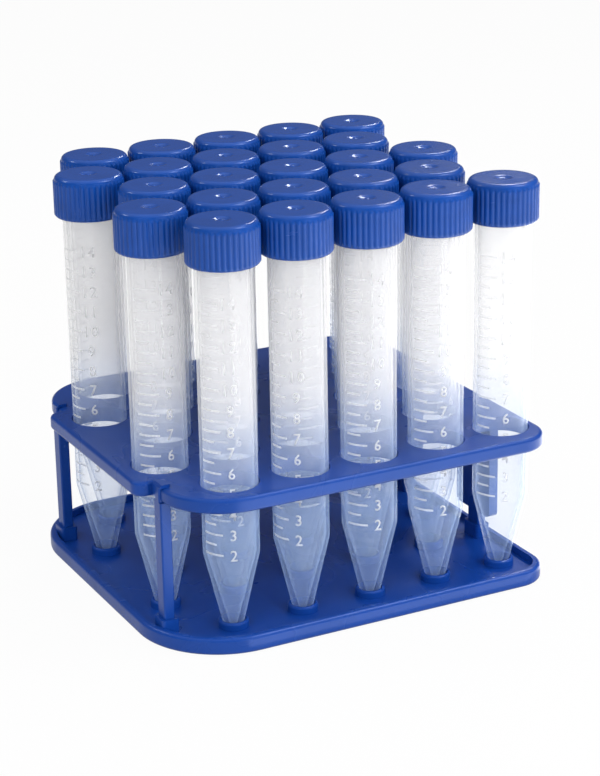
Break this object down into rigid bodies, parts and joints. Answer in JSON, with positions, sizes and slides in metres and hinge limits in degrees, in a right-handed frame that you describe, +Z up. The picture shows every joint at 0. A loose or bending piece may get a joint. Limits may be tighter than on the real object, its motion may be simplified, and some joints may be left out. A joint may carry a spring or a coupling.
{
  "type": "tube rack",
  "caption": "Blue plastic rack of staggered clear conical centrifuge tubes with ribbed blue screw caps, standing in a drilled deck over tip sockets.",
  "frame": {"origin": "middle of the base's footprint, on the bench", "axes": "+Z up along the tubes, +X to the right along the front edge, +Y to the back"},
  "size_m": [0.1264, 0.12, 0.1257],
  "materials": {
    "rack": "satin blue polypropylene",
    "tube": "clear polypropylene",
    "cap": "satin blue polyethylene"
  },
  "bodies": {
    "rack": {"base_plate": "rack", "deck_plate": "rack", "post_front": "rack", "post_rear": "rack", "leg_front": "rack", "leg_rear": "rack"},
    "tube_a1": {"tube_a1": "tube"},
    "cap_a1": {"cap_a1": "cap"},
    "tube_a2": {"tube_a2": "tube"},
    "cap_a2": {"cap_a2": "cap"},
    "tube_a3": {"tube_a3": "tube"},
    "cap_a3": {"cap_a3": "cap"},
    "tube_a4": {"tube_a4": "tube"},
    "cap_a4": {"cap_a4": "cap"},
    "tube_a5": {"tube_a5": "tube"},
    "cap_a5": {"cap_a5": "cap"},
    "tube_b1": {"tube_b1": "tube"},
    "cap_b1": {"cap_b1": "cap"},
    "tube_b2": {"tube_b2": "tube"},
    "cap_b2": {"cap_b2": "cap"},
    "tube_b3": {"tube_b3": "tube"},
    "cap_b3": {"cap_b3": "cap"},
    "tube_b4": {"tube_b4": "tube"},
    "cap_b4": {"cap_b4": "cap"},
    "tube_b5": {"tube_b5": "tube"},
    "cap_b5": {"cap_b5": "cap"},
    "tube_c1": {"tube_c1": "tube"},
    "cap_c1": {"cap_c1": "cap"},
    "tube_c2": {"tube_c2": "tube"},
    "cap_c2": {"cap_c2": "cap"},
    "tube_c3": {"tube_c3": "tube"},
    "cap_c3": {"cap_c3": "cap"},
    "tube_c4": {"tube_c4": "tube"},
    "cap_c4": {"cap_c4": "cap"},
    "tube_c5": {"tube_c5": "tube"},
    "cap_c5": {"cap_c5": "cap"},
    "tube_d1": {"tube_d1": "tube"},
    "cap_d1": {"cap_d1": "cap"},
    "tube_d2": {"tube_d2": "tube"},
    "cap_d2": {"cap_d2": "cap"},
    "tube_d3": {"tube_d3": "tube"},
    "cap_d3": {"cap_d3": "cap"},
    "tube_d4": {"tube_d4": "tube"},
    "cap_d4": {"cap_d4": "cap"},
    "tube_d5": {"tube_d5": "tube"},
    "cap_d5": {"cap_d5": "cap"},
    "tube_e1": {"tube_e1": "tube"},
    "cap_e1": {"cap_e1": "cap"},
    "tube_e2": {"tube_e2": "tube"},
    "cap_e2": {"cap_e2": "cap"},
    "tube_e3": {"tube_e3": "tube"},
    "cap_e3": {"cap_e3": "cap"},
    "tube_e4": {"tube_e4": "tube"},
    "cap_e4": {"cap_e4": "cap"},
    "tube_e5": {"tube_e5": "tube"},
    "cap_e5": {"cap_e5": "cap"}
  },
  "joints": [
    {"name": "lift_a1", "type": "slide", "parent": "rack", "child": "tube_a1", "axis": [0, 0, 1], "range_m": [0, 0.05]},
    {"name": "lift_a2", "type": "slide", "parent": "rack", "child": "tube_a2", "axis": [0, 0, 1], "range_m": [0, 0.05]},
    {"name": "lift_a3", "type": "slide", "parent": "rack", "child": "tube_a3", "axis": [0, 0, 1], "range_m": [0, 0.05]},
    {"name": "lift_a4", "type": "slide", "parent": "rack", "child": "tube_a4", "axis": [0, 0, 1], "range_m": [0, 0.05]},
    {"name": "lift_a5", "type": "slide", "parent": "rack", "child": "tube_a5", "axis": [0, 0, 1], "range_m": [0, 0.05]},
    {"name": "lift_b1", "type": "slide", "parent": "rack", "child": "tube_b1", "axis": [0, 0, 1], "range_m": [0, 0.05]},
    {"name": "lift_b2", "type": "slide", "parent": "rack", "child": "tube_b2", "axis": [0, 0, 1], "range_m": [0, 0.05]},
    {"name": "lift_b3", "type": "slide", "parent": "rack", "child": "tube_b3", "axis": [0, 0, 1], "range_m": [0, 0.05]},
    {"name": "lift_b4", "type": "slide", "parent": "rack", "child": "tube_b4", "axis": [0, 0, 1], "range_m": [0, 0.05]},
    {"name": "lift_b5", "type": "slide", "parent": "rack", "child": "tube_b5", "axis": [0, 0, 1], "range_m": [0, 0.05]},
    {"name": "lift_c1", "type": "slide", "parent": "rack", "child": "tube_c1", "axis": [0, 0, 1], "range_m": [0, 0.05]},
    {"name": "lift_c2", "type": "slide", "parent": "rack", "child": "tube_c2", "axis": [0, 0, 1], "range_m": [0, 0.05]},
    {"name": "lift_c3", "type": "slide", "parent": "rack", "child": "tube_c3", "axis": [0, 0, 1], "range_m": [0, 0.05]},
    {"name": "lift_c4", "type": "slide", "parent": "rack", "child": "tube_c4", "axis": [0, 0, 1], "range_m": [0, 0.05]},
    {"name": "lift_c5", "type": "slide", "parent": "rack", "child": "tube_c5", "axis": [0, 0, 1], "range_m": [0, 0.05]},
    {"name": "lift_d1", "type": "slide", "parent": "rack", "child": "tube_d1", "axis": [0, 0, 1], "range_m": [0, 0.05]},
    {"name": "lift_d2", "type": "slide", "parent": "rack", "child": "tube_d2", "axis": [0, 0, 1], "range_m": [0, 0.05]},
    {"name": "lift_d3", "type": "slide", "parent": "rack", "child": "tube_d3", "axis": [0, 0, 1], "range_m": [0, 0.05]},
    {"name": "lift_d4", "type": "slide", "parent": "rack", "child": "tube_d4", "axis": [0, 0, 1], "range_m": [0, 0.05]},
    {"name": "lift_d5", "type": "slide", "parent": "rack", "child": "tube_d5", "axis": [0, 0, 1], "range_m": [0, 0.05]},
    {"name": "lift_e1", "type": "slide", "parent": "rack", "child": "tube_e1", "axis": [0, 0, 1], "range_m": [0, 0.05]},
    {"name": "lift_e2", "type": "slide", "parent": "rack", "child": "tube_e2", "axis": [0, 0, 1], "range_m": [0, 0.05]},
    {"name": "lift_e3", "type": "slide", "parent": "rack", "child": "tube_e3", "axis": [0, 0, 1], "range_m": [0, 0.05]},
    {"name": "lift_e4", "type": "slide", "parent": "rack", "child": "tube_e4", "axis": [0, 0, 1], "range_m": [0, 0.05]},
    {"name": "lift_e5", "type": "slide", "parent": "rack", "child": "tube_e5", "axis": [0, 0, 1], "range_m": [0, 0.05]},
    {"name": "uncap_a1", "type": "slide", "parent": "tube_a1", "child": "cap_a1", "axis": [0, 0, 1], "range_m": [0, 0.02]},
    {"name": "uncap_a2", "type": "slide", "parent": "tube_a2", "child": "cap_a2", "axis": [0, 0, 1], "range_m": [0, 0.02]},
    {"name": "uncap_a3", "type": "slide", "parent": "tube_a3", "child": "cap_a3", "axis": [0, 0, 1], "range_m": [0, 0.02]},
    {"name": "uncap_a4", "type": "slide", "parent": "tube_a4", "child": "cap_a4", "axis": [0, 0, 1], "range_m": [0, 0.02]},
    {"name": "uncap_a5", "type": "slide", "parent": "tube_a5", "child": "cap_a5", "axis": [0, 0, 1], "range_m": [0, 0.02]},
    {"name": "uncap_b1", "type": "slide", "parent": "tube_b1", "child": "cap_b1", "axis": [0, 0, 1], "range_m": [0, 0.02]},
    {"name": "uncap_b2", "type": "slide", "parent": "tube_b2", "child": "cap_b2", "axis": [0, 0, 1], "range_m": [0, 0.02]},
    {"name": "uncap_b3", "type": "slide", "parent": "tube_b3", "child": "cap_b3", "axis": [0, 0, 1], "range_m": [0, 0.02]},
    {"name": "uncap_b4", "type": "slide", "parent": "tube_b4", "child": "cap_b4", "axis": [0, 0, 1], "range_m": [0, 0.02]},
    {"name": "uncap_b5", "type": "slide", "parent": "tube_b5", "child": "cap_b5", "axis": [0, 0, 1], "range_m": [0, 0.02]},
    {"name": "uncap_c1", "type": "slide", "parent": "tube_c1", "child": "cap_c1", "axis": [0, 0, 1], "range_m": [0, 0.02]},
    {"name": "uncap_c2", "type": "slide", "parent": "tube_c2", "child": "cap_c2", "axis": [0, 0, 1], "range_m": [0, 0.02]},
    {"name": "uncap_c3", "type": "slide", "parent": "tube_c3", "child": "cap_c3", "axis": [0, 0, 1], "range_m": [0, 0.02]},
    {"name": "uncap_c4", "type": "slide", "parent": "tube_c4", "child": "cap_c4", "axis": [0, 0, 1], "range_m": [0, 0.02]},
    {"name": "uncap_c5", "type": "slide", "parent": "tube_c5", "child": "cap_c5", "axis": [0, 0, 1], "range_m": [0, 0.02]},
    {"name": "uncap_d1", "type": "slide", "parent": "tube_d1", "child": "cap_d1", "axis": [0, 0, 1], "range_m": [0, 0.02]},
    {"name": "uncap_d2", "type": "slide", "parent": "tube_d2", "child": "cap_d2", "axis": [0, 0, 1], "range_m": [0, 0.02]},
    {"name": "uncap_d3", "type": "slide", "parent": "tube_d3", "child": "cap_d3", "axis": [0, 0, 1], "range_m": [0, 0.02]},
    {"name": "uncap_d4", "type": "slide", "parent": "tube_d4", "child": "cap_d4", "axis": [0, 0, 1], "range_m": [0, 0.02]},
    {"name": "uncap_d5", "type": "slide", "parent": "tube_d5", "child": "cap_d5", "axis": [0, 0, 1], "range_m": [0, 0.02]},
    {"name": "uncap_e1", "type": "slide", "parent": "tube_e1", "child": "cap_e1", "axis": [0, 0, 1], "range_m": [0, 0.02]},
    {"name": "uncap_e2", "type": "slide", "parent": "tube_e2", "child": "cap_e2", "axis": [0, 0, 1], "range_m": [0, 0.02]},
    {"name": "uncap_e3", "type": "slide", "parent": "tube_e3", "child": "cap_e3", "axis": [0, 0, 1], "range_m": [0, 0.02]},
    {"name": "uncap_e4", "type": "slide", "parent": "tube_e4", "child": "cap_e4", "axis": [0, 0, 1], "range_m": [0, 0.02]},
    {"name": "uncap_e5", "type": "slide", "parent": "tube_e5", "child": "cap_e5", "axis": [0, 0, 1], "range_m": [0, 0.02]}
  ]
}
